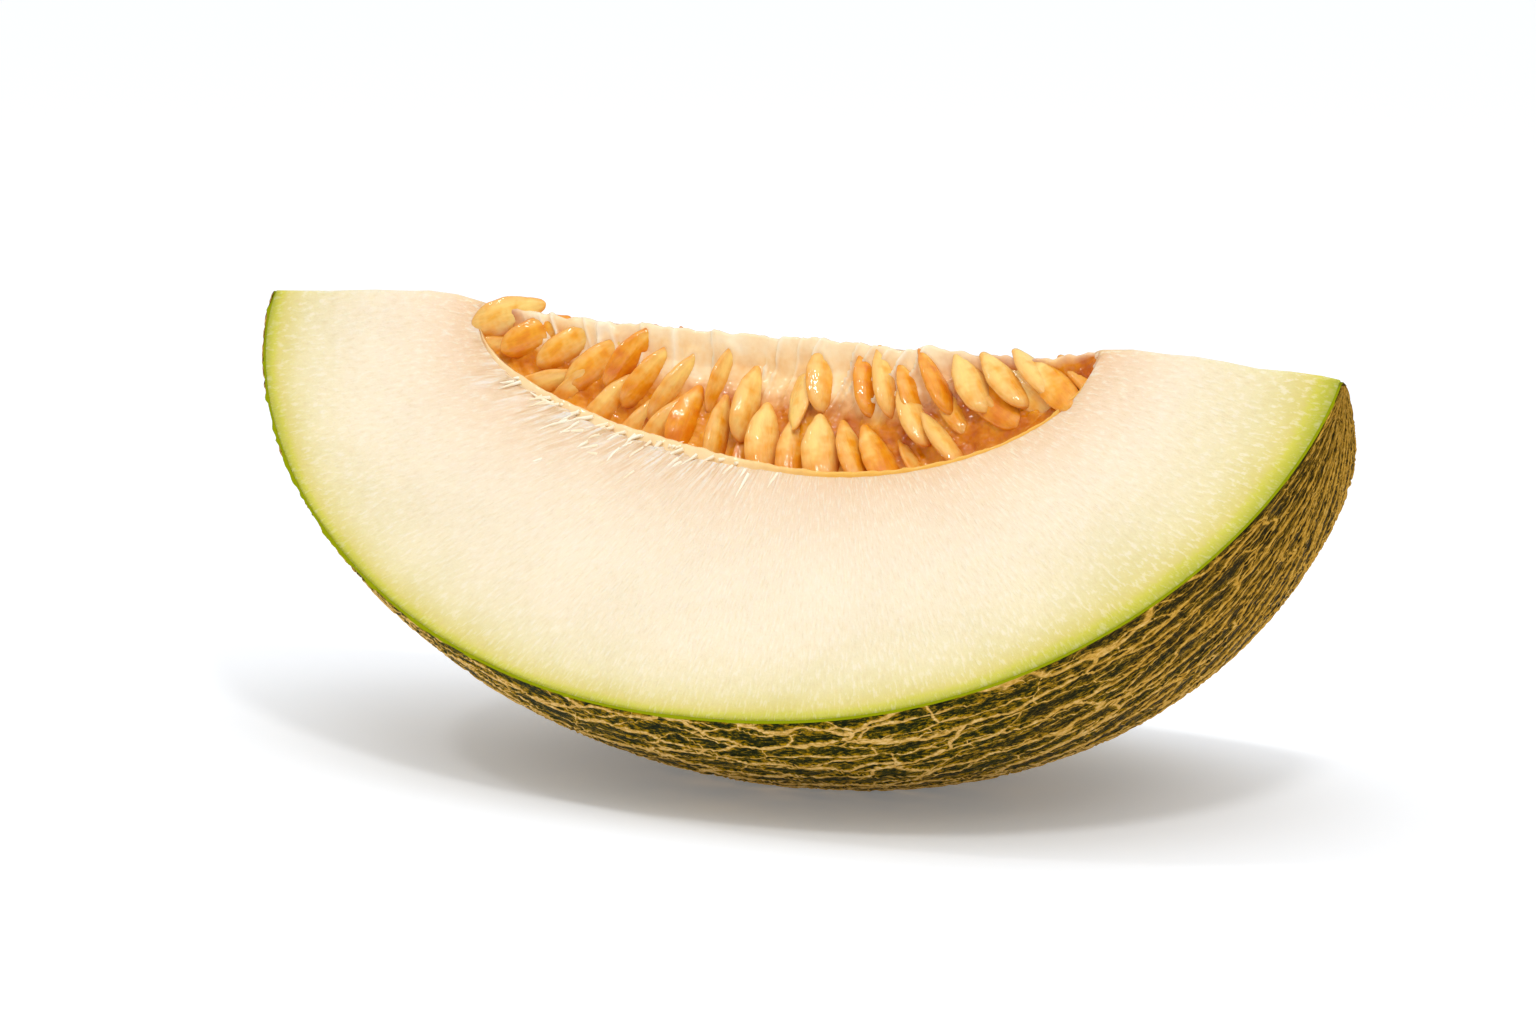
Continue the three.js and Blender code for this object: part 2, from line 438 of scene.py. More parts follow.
seed = {
    "rings": 30, "segments": 30,
    "profile": ((0, 0.0), (0.02, 0.30), (0.07, 0.56), (0.15, 0.79), (0.27, 0.95), (0.4, 1.0),
                (0.54, 0.97), (0.68, 0.84), (0.8, 0.63), (0.88, 0.44), (0.945, 0.31), (0.98, 0.24),
                (1, 0.0)),
    "length": 0.0149, "width": 0.0067, "thick": 0.0028,
    "longEnough": 0.0143, "endPart": 0.0032,
    "tipReach": 0.0071, "endReach": 0.0074, "spineLength": 0.0145,
    "seat": 0.0001, "deep": 0.0012, "mostShift": 0.0022, "mostSlide": 0.004,
    "above": -0.0006, "cornerAbove": 0.0016, "cornerX": -0.052,
    "fanMiddle": -0.12, "fanSpread": 75,
    "bend": 0.05, "rough": 0.00009,
}


# where a CAD seed lies: its middle and its length, width and thickness directions
def seedFrame(node):
    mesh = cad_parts[node].data
    points = np.array([v.co for v in mesh.vertices], float)
    points = np.unique(np.round(points, 7), axis=0)
    middle = points.mean(0)
    axes = np.linalg.eigh(np.cov((points - middle).T))[1]
    length, width, thick = axes[:, 2], axes[:, 1], axes[:, 0]
    along = (points - middle) @ length
    centre = middle + length * (along.max() + along.min()) / 2
    # the pointed end looks towards the middle of the fan
    side = 1 if "front" in node else -1
    down, outward = cutDirections(side)
    fan = math.radians(-(centre[0] / cavity["halfLength"] - seed["fanMiddle"]) * seed["fanSpread"])
    towards = np.array([math.sin(fan), 0, 0]) - math.cos(fan) * down
    flip = length @ towards < 0
    if np.ptp(along) > seed["longEnough"]:
        girth = np.abs((points - middle) @ width)
        endPart = seed["endPart"]
        flip = girth[along > along.max() - endPart].max() > girth[along < along.min() + endPart].max()
    if flip:
        length = -length
    if thick @ outward < 0:
        thick, width = -thick, -width
    across = (points - centre) @ width
    centre = centre + width * (across.max() + across.min()) / 2
    through = (points - centre) @ thick
    centre = centre + thick * (through.max() + through.min()) / 2
    return centre, length, width, thick


# how far a seed that sits deep in the wedge is eased out so that it shows, and down below the ridge
def proudShift(node, centre, length):
    side = 1 if "front" in node else -1
    down, outward = cutDirections(side)
    point = centre - np.array([0, 0, axisHeight])
    depth, behind = point @ down, -(point @ outward)
    sunk = behind - hollowDepth(side, depth) - seed["seat"]
    inside = 1 - float(smoothStep(0.90, 0.94, abs(centre[0]) / cavity["halfLength"]))
    shift = outward * float(np.clip(sunk, 0, seed["mostShift"])) * inside
    # a deep seed slides along itself until neither end passes the hollow's rim
    for end in (-1, 1) if sunk > seed["deep"] else ():
        tip = point + shift + length * end * seed["endReach"]
        shift = shift - length * end * float(np.clip(tip @ down - rimDepth(tip[0]), 0, seed["mostSlide"]))
    tip = point + shift + length * math.copysign(seed["tipReach"], length[2])
    allowed = seed["above"] if centre[0] > seed["cornerX"] else seed["cornerAbove"]
    excess = tip[2] - float(shoulderRise(tip[0])) - allowed
    return shift + down * float(np.clip(excess / -down[2], 0, seed["mostSlide"]))


def seedMesh(name, node, picks):
    centre, length, width, thick = seedFrame(node)
    centre = centre + proudShift(node, centre, length)
    long = seed["length"] * picks.uniform(0.96, 1.04)
    wide = seed["width"] * picks.uniform(0.93, 1.08)
    deep = seed["thick"] * picks.uniform(0.92, 1.18)
    rings, segments = seed["rings"], seed["segments"]
    steps = 0.5 - 0.5 * np.cos(np.linspace(0, math.pi, rings + 1))
    shares, widths = np.array(seed["profile"]).T
    profile = np.interp(steps, shares, widths)
    for i in range(2):
        profile[1:-1] = (profile[:-2] + 2 * profile[1:-1] + profile[2:]) / 4
    profile[0] = profile[-1] = 0
    angles = np.linspace(0, 2 * math.pi, segments, endpoint=False)
    bend = seed["bend"] * picks.uniform(-1.3, 1.3)
    skew = picks.uniform(-0.12, 0.12)
    verts, edge, along = [], [], []
    for i, step in enumerate(steps):
        ring = [0.0] if i in (0, rings) else angles
        for angle in ring:
            side, face = math.cos(angle), math.sin(angle)
            half = profile[i] * wide / 2
            body = profile[i] ** 0.8 * deep / 2
            across = side * half * (1 + skew * side)
            lens = abs(face) ** 1.15 * math.copysign(1, face)
            through = body * lens
            # a shallow groove runs inside the thicker edge all round
            groove = math.exp(-((abs(side) - 0.72) / 0.12) ** 2) * min(1.0, 4 * step, 5 * (1 - step))
            through *= 1 - 0.16 * groove
            run = (step - 0.5) * long
            shift = bend * long * (0.25 - (step - 0.45) ** 2)
            point = centre + length * run + width * (across + 0.5 * shift) + thick * (through + shift)
            verts.append(point)
            edge.append(abs(side) if 0 < i < rings else 1.0)
            along.append(step)
    faces = []
    index = lambda i, j: 1 + (i - 1) * segments + j % segments
    last = len(verts) - 1
    for j in range(segments):
        faces.append((0, index(1, j), index(1, j + 1)))
        faces.append((last, index(rings - 1, j + 1), index(rings - 1, j)))
        for i in range(1, rings - 1):
            faces.append((index(i, j), index(i + 1, j), index(i + 1, j + 1), index(i, j + 1)))
    verts = np.array(verts)
    # faces outwards whatever way the three directions turn
    if np.cross(width, thick) @ length > 0:
        faces = [face[::-1] for face in faces]
    rough = waveNoise(verts, 0.004, int(picks.integers(1000)), 2)
    out = verts - centre
    out -= np.outer(out @ length, length)
    out /= np.maximum(np.linalg.norm(out, axis=1, keepdims=True), 1e-5)
    verts = verts + out * (rough * seed["rough"])[:, None]
    tone = picks.uniform(0, 1)
    outward = cutDirections(1 if "front" in node else -1)[1]
    fields = {
        "sunkenShade": np.clip(-((verts - centre) @ outward) / 0.0019, 0, 1),
        "edge": edge, "along": along, "tone": np.full(len(verts), tone),
        "lie": np.stack([(verts - centre) @ axis for axis in (length, width, thick)], 1) * 1000,
    }
    return makeMesh(name, verts, faces, fields)


def seedMaterial():
    material, tree, shader = newMaterial("wetSeedCoat")
    edge, along, tone = fieldOf(tree, "edge"), fieldOf(tree, "along"), fieldOf(tree, "tone")
    lie = fieldOf(tree, "lie", vector=True)
    grain = noise(stretched(lie, (0.25, 1.0, 1.0)), 1.6, 4, 0.6)
    blotch = noise(lie, 0.32, 2, 0.5)
    body = ramp(plus(times(blotch, 0.9), times(tone, 0.35)), [
        (0.30, (226, 124, 0)), (0.52, (246, 166, 30)), (0.80, (255, 214, 120))])
    rim = ramp(edge, [(0.5, 0), (0.8, 0.5), (1, 1)])
    body = mixColour(times(rim, 0.5), body, (228, 130, 6))
    # painted shade: each seed is darker towards both ends, most at its rounded end
    endShade = ramp(along, [(0, 0.75), (0.3, 0.1), (0.8, 0), (1, 0.3)])
    body = mixColour(times(endShade, 0.6), body, (216, 120, 14))
    # painted shade: each seed turns dark orange where it lies sunk back towards the pulp
    sunkenShade = ramp(fieldOf(tree, "sunkenShade"), [(0.0, 0), (1.0, 0.85)])
    body = mixColour(sunkenShade, body, (206, 104, 4))
    streak = ramp(grain, [(0.35, 0.82), (0.65, 1)])
    body = mixColour(0.5, body, streak, "MULTIPLY")
    setSockets(shader, {
        "Base Color": body, "Roughness": ramp(grain, [(0.3, 0.24), (0.7, 0.42)]),
        "Subsurface Weight": 0.15, "Subsurface Radius": (1.0, 0.6, 0.25), "Subsurface Scale": 0.002,
        "Coat Weight": 1.0, "Specular IOR Level": 0.12, "Coat Roughness": 0.04, "Coat IOR": 1.45,
    })
    bump(shader, grain, 0.35, 0.0004)
    # the wet film over the coat lies in small ripples of its own
    film = noise(stretched(lie, (0.4, 1.0, 1.0)), 0.7, 3, 0.55)
    bump(shader, film, 0.5, 0.0006, "Coat Normal")
    return material


def makeSeeds():
    coat = seedMaterial()
    pieces = []
    names = [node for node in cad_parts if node.startswith("seed_")]
    names.sort(key=lambda node: (node[:7], int(node.split("_")[-1])))
    for node in names:
        picks = np.random.default_rng(int(node.split("_")[-1]) + (500 if "back" in node else 0))
        side, number = node.split("_")[1:]
        piece = seedMesh("melonSeed" + side.capitalize() + number, node, picks)
        piece.data.materials.append(coat)
        finishPiece(piece, "seed", node)
        pieces.append(piece)
    return pieces


seeds = makeSeeds()
print("seeds laid:", len(seeds))


# flesh: both cut faces, the seed hollow, and the layer under the skin

flesh = {
    "stations": 400,
    "front": (30, 10, 92),
    "back": (20, 8, 50),
    "under": 8,
    "lip": 0.984, "lipPull": 0.05, "fanX": 0.010, "ridgeDrop": 0.0014,
    "wave": 0.00022, "tear": 0.00055,
    "albedo": (0.915, 0.868, 0.878),
}


# a point of a cut face: x along the fruit, depth below its axis, and how far behind the cut
def cutPoint(side, x, depth, behind):
    down, outward = cutDirections(side)
    rise = shoulderRise(x)
    foot = np.maximum(rise * shoulder["foot"], 1e-6)
    lift = np.clip(1 - depth / foot, 0, 1) * rise
    point = np.zeros(np.broadcast(x, depth, behind).shape + (3,))
    point[..., 0] = x
    point += depth[..., None] * down - behind[..., None] * outward
    point[..., 2] += axisHeight + lift
    return point


# shortest way over the cut face, in millimetres, from points (x, depth) to an outline
def wayTo(x, depth, outlineX, outlineDepth):
    tree = cloudOf([(along, down, 0) for along, down in zip(outlineX, outlineDepth)])
    ways = [tree.find((along, down, 0))[2] for along, down in zip(x.ravel(), depth.ravel())]
    return np.array(ways).reshape(x.shape) * 1000


def faceSheet(side, x, levels, outer):
    hollowLevels, wallLevels, openLevels = levels
    rim = rimDepth(x)
    inCavity = smoothStep(0.0, 0.006, rim)
    edge = np.maximum(rim, 0.0012)
    soft = softLip(side, x)
    lip = flesh["lip"] - flesh["lipPull"] * soft
    columns, behinds, shares = [], [], []
    for share in np.linspace(0, 1, hollowLevels + 1):
        depth = edge * share * lip
        columns.append(depth)
        behinds.append((hollowDepth(side, depth) + np.minimum(depth * 0.3, 0.003)) * inCavity)
        shares.append(np.full_like(x, share - 1))
    floorDepth = behinds[-1]
    for share in np.linspace(0, 1, wallLevels + 1)[1:]:
        rounded = math.sin(share * math.pi / 2)
        pulledIn = (0.0005 + 0.0012 * soft) * share ** 3 * inCavity
        columns.append(edge * (lip + (1 - lip) * rounded) + pulledIn)
        behinds.append(floorDepth * (1 - share) ** (1.0 + 0.5 * soft))
        shares.append(np.zeros_like(x))
    start = columns[-1]
    for share in np.linspace(0, 1, openLevels + 1)[1:]:
        columns.append(start + (outer - start) * share ** 1.1)
        behinds.append(np.zeros_like(x))
        shares.append(np.full_like(x, share))
    return np.stack(columns, 1), np.stack(behinds, 1), np.stack(shares, 1)


def buildFlesh():
    x = stationsAlong(flesh["stations"] + 1)[0] * (halfLength - melon["skin"]) / halfLength
    outer = skinRadius(x, melon["skin"])
    inner = x[1:-1]
    fine = np.linspace(-1, 1, 1600)
    skinX = halfLength * np.sin(fine * math.pi / 2)
    hollowX = cavity["halfLength"] * np.sin(fine * math.pi / 2)
    verts = [np.array([tip, 0, axisHeight]) for tip in (x[0], x[-1])]
    # place: along and down in millimetres; gaps: way to the skin and to the hollow; ray: fibre direction
    fields = {"place": [np.array([[x[0], 0, 1], [x[-1], 0, 1]]) * (1000, 1, 1)],
              "gaps": [np.array([[0, 40, 0], [0, 40, 0]])],
              "ray": [np.array([[-88, 118, 0], [84, 102, 0]])]}
    sheets = {}
    count = 2
    for side, key in ((1, "front"), (-1, "back")):
        depth, behind, share = faceSheet(side, inner, flesh[key], outer[1:-1])
        wide = np.broadcast_to(inner[:, None], depth.shape)
        point = cutPoint(side, wide, depth, behind)
        toSkin = wayTo(wide, depth, skinX, skinRadius(skinX))
        inHollow = (share <= 0) & (rimDepth(wide) > 0.0012)
        toHollow = wayTo(wide, depth, hollowX, rimDepth(hollowX)) * np.where(inHollow, -0.2, 1)
        angle = np.arctan2(wide - flesh["fanX"], depth + 0.002)
        reach = np.hypot(wide - flesh["fanX"], depth)
        ray = np.stack([angle * 56, reach * 1000, share * 0], -1)
        outward = cutDirections(side)[1]
        wave = waveNoise(point.reshape(-1, 3), 0.028, 5 + side, 3).reshape(depth.shape)
        fade = np.clip(share * 6, 0, 1) * np.clip(toSkin / 4, 0, 1)
        # torn fibres run from the soft lip over the flesh below it
        streakPlace = np.stack([ray[..., 0].ravel(), ray[..., 1].ravel() * 0.12], 1)
        streak = waveNoise(streakPlace, 3.0, 61 + side, 3)
        torn = np.exp(-np.maximum(toHollow, 0) / 4.0) * (share >= 0) * (side > 0)
        torn = torn * (0.10 + smoothStep(0.016, -0.012, wide) * smoothStep(-0.066, -0.050, wide))
        lift = wave * fade * flesh["wave"] + streak.reshape(depth.shape) * torn * flesh["tear"]
        point = point + lift[..., None] * outward
        point[:, 0, 2] -= flesh["ridgeDrop"] * smoothStep(0.004, 0.012, rimDepth(inner))
        first = 0 if side > 0 else 1
        index = np.zeros(depth.shape, int)
        fresh = np.arange(count, count + depth[:, first:].size)
        index[:, first:] = fresh.reshape(-1, depth.shape[1] - first)
        if side > 0:
            apexIndex = index[:, 0].copy()
        else:
            index[:, 0] = apexIndex
        count += depth[:, first:].size
        verts += list(point[:, first:].reshape(-1, 3))
        fields["place"].append(np.stack([wide * 1000, depth * 1000, share], -1)[:, first:].reshape(-1, 3))
        tornField = (streak.reshape(depth.shape) * 0.5 + 0.5) * torn
        fields["gaps"].append(np.stack([toSkin, toHollow, tornField], -1)[:, first:].reshape(-1, 3))
        fields["ray"].append(ray[:, first:].reshape(-1, 3))
        sheets[side] = index
    front, back = sheets[1], sheets[-1]
    under = [front[:, -1]]
    cut = math.radians(melon["cutAngle"])
    for j in range(1, flesh["under"]):
        angle = cut - 2 * cut * j / flesh["under"]
        ring = roundPoints(x, outer, angle)
        under.append(np.arange(count, count + len(ring)))
        verts += list(ring)
        fields["place"].append(np.stack([inner * 1000, outer[1:-1] * 1000, inner * 0 + 1], 1))
        fields["gaps"].append(np.stack([inner * 0, inner * 0 + 30, inner * 0], 1))
        fields["ray"].append(np.stack([inner * 1000, inner * 0 + 80, inner * 0], 1))
        count += len(ring)
    under.append(back[:, -1])
    under = np.stack(under, 1)

    faces = np.vstack([
        gridFaces(withTips(front))[:, ::-1],
        gridFaces(withTips(back)),
        gridFaces(withTips(under))[:, ::-1],
    ])
    verts = np.array(verts)
    verts[:, 2] = np.maximum(verts[:, 2], 0.0006)
    fields = {name: np.vstack(rows) for name, rows in fields.items()}
    return makeMesh("melonFlesh", verts, cleanFaces(faces), fields)


def fleshMaterial():
    material, tree, shader = newMaterial("paleMelonFlesh")
    toSkin, toHollow, torn = partsOf(fieldOf(tree, "gaps", vector=True))
    along = partsOf(fieldOf(tree, "place", vector=True))[0]
    ray = fieldOf(tree, "ray", vector=True)
    where = objectPlace(tree)
    soft = noise(where, 55, 3, 0.55)
    fine = noise(where, 1100, 3, 0.6)
    # the green layer is thicker towards both ends, most at the blossom end
    ends = ramp(calc("DIVIDE", plus(along, 110), 220), [
        (0.0, 0.62), (0.14, 0.76), (0.5, 0.88), (0.8, 0.58), (1.0, 0.34)])
    wobble = plus(times(minus(soft, 0.5), 0.9), 1.0)
    layer = times(times(toSkin, ends), wobble)
    skinTone = ramp(calc("DIVIDE", layer, 24), [
        (0.0, (158, 170, 0)), (0.026, (190, 192, 16)), (0.058, (216, 212, 62)),
        (0.085, (228, 217, 118)), (0.135, (234, 224, 146)), (0.2, (241, 232, 172)),
        (0.3, (246, 237, 190)), (0.55, (252, 241, 206)), (1.0, (255, 243, 212))])
    hollowTone = ramp(calc("DIVIDE", plus(toHollow, times(soft, 6)), 30), [
        (0.05, (238, 192, 138)), (0.13, (247, 213, 168)), (0.3, (251, 227, 190)),
        (0.58, (254, 238, 205)), (0.92, (255, 243, 212))])
    tone = mixColour(1.0, skinTone, hollowTone, "DARKEN")
    # short pale fibres and darker gaps that run from the hollow to the skin
    fibre = noise(stretched(ray, (2.1, 0.45, 0)), 1.0, 3, 0.62)
    fleck = ramp(fibre, [(0.52, 0), (0.64, 1)])
    gap = ramp(fibre, [(0.32, 1), (0.46, 0)])
    faint = ramp(calc("DIVIDE", toSkin, 20), [(0.1, 0.2), (0.5, 0.62)])
    tone = mixColour(times(fleck, faint), tone, (255, 249, 222))
    tone = mixColour(times(gap, 0.22), tone, (226, 202, 144))
    shred = noise(stretched(ray, (1.1, 0.12, 0)), 1.0, 3, 0.6)
    tearing = ramp(torn, [(0.0, 0), (0.25, 0.75), (0.7, 1)])
    # the tan between the pale torn streaks is partly the flesh's own colour and partly painted shade in
    # the crevices between them
    tornTanAndShade = ramp(shred, [(0.38, (234, 194, 144)), (0.5, (249, 224, 184)), (0.60, (255, 250, 234))])
    tone = mixColour(tearing, tone, tornTanAndShade)
    cloud = ramp(soft, [(0.35, 0.96), (0.7, 1)])
    tone = mixColour(1.0, tone, cloud, "MULTIPLY")
    speck = noise(where, 2600, 2, 0.6)
    tone = mixColour(0.5, tone, ramp(speck, [(0.35, 0.955), (0.6, 1)]), "MULTIPLY")
    tone = mixColour(1.0, tone, (*flesh["albedo"], 1.0), "MULTIPLY")
    setSockets(shader, {
        "Base Color": tone, "Roughness": ramp(fine, [(0.3, 0.36), (0.7, 0.56)]),
        "Subsurface Weight": 0.3, "Subsurface Radius": (1.0, 0.75, 0.35), "Subsurface Scale": 0.003,
        "Coat Weight": 0.12, "Coat Roughness": 0.3,
    })
    height = plus(times(fibre, 0.8), times(fine, 0.4))
    height = plus(height, times(times(shred, torn), 1.5))
    bump(shader, height, 0.55, 0.0005)
    return material


fleshPiece = buildFlesh()
fleshPiece.data.materials.append(fleshMaterial())
print("flesh cut:", len(fleshPiece.data.polygons), "faces")


# rind: the skin with its raised net

rind = {
    "stations": 400, "around": 196, "inner": 8,
    "mainLong": 34.0, "mainWide": 8.5, "mainHalf": 0.30,
    "fineLong": 15.0, "fineWide": 4.6, "fineHalf": 0.145,
    "height": 0.00045,
    "seed": 3.0,
}


# distance in millimetres to the nearest edge of a cell pattern stretched along the fruit;
# the same nodes serve the surface's shape and its colour
def veinDistance(place, long, wide, offset, warp):
    shift = noise(vectorCalc("ADD", place, (offset, offset * 1.7, 0)), 0.085, 2, 0.55, colour=True)
    shift = vectorCalc("SUBTRACT", shift, (0.5,) * 3)
    moved = vectorCalc("ADD", place, vectorCalc("SCALE", shift, scale=warp))
    squeeze = (1 / long, 1 / wide, 0)
    squeezed = stretched(vectorCalc("ADD", moved, (offset * 7, offset * 3, 0)), squeeze)
    ends = []
    for feature in ("F1", "F2"):
        values = {"Scale": 1.0, "Randomness": 0.92, "Vector": squeezed}
        traits = {"voronoi_dimensions": "2D", "feature": feature}
        ends.append(addNode(place.id_data, "ShaderNodeTexVoronoi", values, **traits).outputs["Position"])
    across = vectorCalc("NORMALIZE", vectorCalc("SUBTRACT", ends[1], ends[0]))
    middle = vectorCalc("SCALE", vectorCalc("ADD", ends[0], ends[1]), scale=0.5)
    gap = vectorCalc("DOT_PRODUCT", vectorCalc("SUBTRACT", middle, squeezed), across)
    stretch = vectorCalc("LENGTH", stretched(across, squeeze))
    return calc("DIVIDE", gap, stretch)


# 1 on a vein's crest, 0 beside it; and how near the veins are, for the ochre beside them
def netHeight(place):
    patch = noise(place, 0.10, 3, 0.6)
    main = veinDistance(place, rind["mainLong"], rind["mainWide"], rind["seed"], 12.0)
    fine = veinDistance(place, rind["fineLong"], rind["fineWide"], rind["seed"] + 4.3, 8.0)
    crumble = noise(place, 1.1, 3, 0.65)
    rough = times(minus(crumble, 0.5), 0.7)
    mainWidth = times(plus(patch, 0.5), rind["mainHalf"] * 2)
    fineWidth = times(minus(patch, 0.34), rind["fineHalf"] * 10)
    fineWidth = calc("MAXIMUM", fineWidth, 0.02)
    crests = []
    for way, width in ((main, mainWidth), (fine, fineWidth)):
        off = calc("DIVIDE", plus(way, rough), width)
        crests.append(calc("SUBTRACT", 1.15, off, clamp=True))
    crest = calc("MAXIMUM", crests[0], times(crests[1], 0.75))
    near = calc("MINIMUM", main, plus(fine, 0.35))
    return crest, near


def buildRind():
    x, run = stationsAlong(rind["stations"] + 1)
    outer = skinRadius(x)
    scale = (halfLength - melon["skin"]) / halfLength
    xIn = x * scale
    innerRadius = skinRadius(xIn, melon["skin"])
    cut = math.radians(melon["cutAngle"])
    arc = np.linspace(0, run * 1000, rind["stations"] + 1) - run * 500
    verts = [np.array([tip, 0, axisHeight]) for tip in (x[0], x[-1], xIn[0], xIn[-1])]
    place = [(arc[0], 0, 0), (arc[-1], 0, 0)] * 2
    out = [0.0] * 4
    count = 4

    def ring(stations, radii, steps, lift):
        nonlocal count
        columns = []
        for j in range(steps + 1):
            angle = cut - 2 * cut * j / steps
            points = roundPoints(stations, radii, angle)
            columns.append(np.arange(count, count + len(points)))
            verts.extend(points)
            place.extend([(way, angle * melon["radius"] * 1000, 0) for way in arc[1:-1]])
            out.extend([lift] * len(points))
            count += len(points)
        return np.stack(columns, 1)

    skin = ring(x, outer, rind["around"], 1.0)
    lining = ring(xIn, innerRadius, rind["inner"], 0.0)

    skin, lining = withTips(skin, 0, 1), withTips(lining, 2, 3)
    edgeFront = np.stack([skin[:, 0], lining[:, 0]], 1)
    edgeBack = np.stack([skin[:, -1], lining[:, -1]], 1)
    strips = cleanFaces(np.vstack([gridFaces(edgeFront), gridFaces(edgeBack)[:, ::-1]]))
    sheets = cleanFaces(np.vstack([gridFaces(skin)[:, ::-1], gridFaces(lining)]))
    fields = {"place": np.array(place), "outside": np.array(out)}
    piece = makeMesh("melonRind", verts, sheets + strips, fields)
    # the cut edge of the skin, coloured apart from its outside
    store = piece.data.attributes.new("cutEdge", "FLOAT", "FACE")
    store.data.foreach_set("value", np.array([0.0] * len(sheets) + [1.0] * len(strips), np.float32))
    flat = np.array([True] * len(sheets) + [False] * len(strips))
    piece.data.polygons.foreach_set("use_smooth", flat)
    return piece


# raises the net on the skin
def netTree():
    tree, start, end = newTree("raisedNet", (("Net height", "Float"), ("Skin", "Material")))
    place = storedField(tree, "place", "FLOAT_VECTOR")
    outside = storedField(tree, "outside", "FLOAT")
    crest = netHeight(place)[0]
    lumps = noise(place, 0.05, 2, 0.5)
    swell = times(minus(lumps, 0.5), 1.2)
    raised = plus(minus(crest, 0.3), swell)
    lift = times(times(raised, start.outputs["Net height"]), outside)
    normal = tree.nodes.new("GeometryNodeInputNormal").outputs[0]
    offset = vectorCalc("SCALE", normal, scale=lift)
    finishTree(tree, start.outputs["Geometry"], offset, start.outputs["Skin"], end)
    return tree


def applyTree(piece, tree, values):
    modifier = piece.modifiers.new("grow", "NODES")
    modifier.node_group = tree
    for item in tree.interface.items_tree:
        if item.in_out == "INPUT" and item.name in values:
            modifier[item.identifier] = values[item.name]
    bpy.context.view_layer.update()
    graph = bpy.context.evaluated_depsgraph_get()
    mesh = bpy.data.meshes.new_from_object(piece.evaluated_get(graph))
    old = piece.data
    piece.modifiers.clear()
    piece.data = mesh
    bpy.data.meshes.remove(old)


def rindMaterial():
    material, tree, shader = newMaterial("nettedGreenRind")
    place = fieldOf(tree, "place", vector=True)
    along = partsOf(place)[0]
    crest, near = netHeight(place)
    where = objectPlace(tree)
    grain = noise(stretched(place, (0.6, 1.0, 1.0)), 1.25, 4, 0.72)
    patch = noise(stretched(place, (0.5, 1.0, 1.0)), 0.16, 3, 0.55)
    fine = noise(where, 1500, 3, 0.6)
    # ochre gathers beside the veins, dark green fills the cells
    level = minus(grain, times(calc("MINIMUM", near, 2.4), 0.058))
    green = ramp(level, [
        (0.29, (14, 20, 0)), (0.39, (36, 42, 0)), (0.44, (88, 78, 0)),
        (0.49, (150, 114, 0)), (0.58, (184, 140, 10))])
    brown = ramp(level, [
        (0.29, (30, 25, 8)), (0.39, (60, 47, 14)), (0.46, (108, 82, 20)), (0.57, (164, 122, 36))])
    browning = plus(calc("DIVIDE", along, 130), times(patch, 0.9))
    browner = ramp(times(browning, 0.5), [(0.40, 0), (0.62, 0.9)])
    tone = mixColour(browner, green, brown)
    vein = ramp(grain, [
        (0.3, (178, 132, 42)), (0.48, (222, 176, 92)), (0.66, (248, 214, 146))])
    golden = ramp(grain, [(0.3, (166, 118, 28)), (0.52, (212, 160, 56)), (0.7, (236, 190, 94))])
    vein = mixColour(browner, vein, golden)
    halo = ramp(crest, [(0.1, 0), (0.35, 0.35), (0.55, 0.95), (0.7, 1)])
    tone = mixColour(halo, tone, vein)
    tone = mixColour(fieldOf(tree, "cutEdge"), tone, (140, 148, 2))
    setSockets(shader, {
        "Base Color": tone, "Roughness": ramp(crest, [(0.0, 0.5), (0.5, 0.75)]),
        "Specular IOR Level": 0.03,
    })
    height = plus(times(grain, 0.9), times(fine, 0.3))
    bump(shader, height, 0.6, 0.0007)
    return material


def makeRind():
    piece = buildRind()
    applyTree(piece, netTree(), {"Net height": rind["height"], "Skin": rindMaterial()})
    points = np.zeros(len(piece.data.vertices) * 3, np.float32)
    piece.data.vertices.foreach_get("co", points)
    points[2::3] = np.maximum(points[2::3], 0)
    piece.data.vertices.foreach_set("co", points)
    piece.data.update()
    return piece


rindPiece = makeRind()
print("rind netted:", len(rindPiece.data.polygons), "faces")


# the wet pulp that lines the seed hollow

pulp = {
    "front": (430, 110), "back": (240, 60),
    "reach": 0.992, "thick": 0.0010,
    "fold": 0.0014, "lump": 0.00024, "grain": 0.00005,
    "under": 0.0009, "spread": 0.0036,
    "hug": 0.0010, "hugLift": 0.0006,
    "crownUp": 0.0004, "crownWave": 0.0005, "lap": 0.0020, "backTuck": 0.0012, "ridgeLift": 0.0008,
}


# points along each seed's middle, as (x, depth, behind) of one cut face
def seedSpines(side):
    down, outward = cutDirections(side)
    rows = []
    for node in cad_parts:
        if node.startswith("seed_front" if side > 0 else "seed_back"):
            centre, length = seedFrame(node)[:2]
            for share in (-0.4, -0.2, 0, 0.2, 0.38):
                point = centre + proudShift(node, centre, length) + length * share * seed["spineLength"]
                point = point - np.array([0, 0, axisHeight])
                rows.append((point[0], point @ down, -(point @ outward)))
    return np.array(rows)


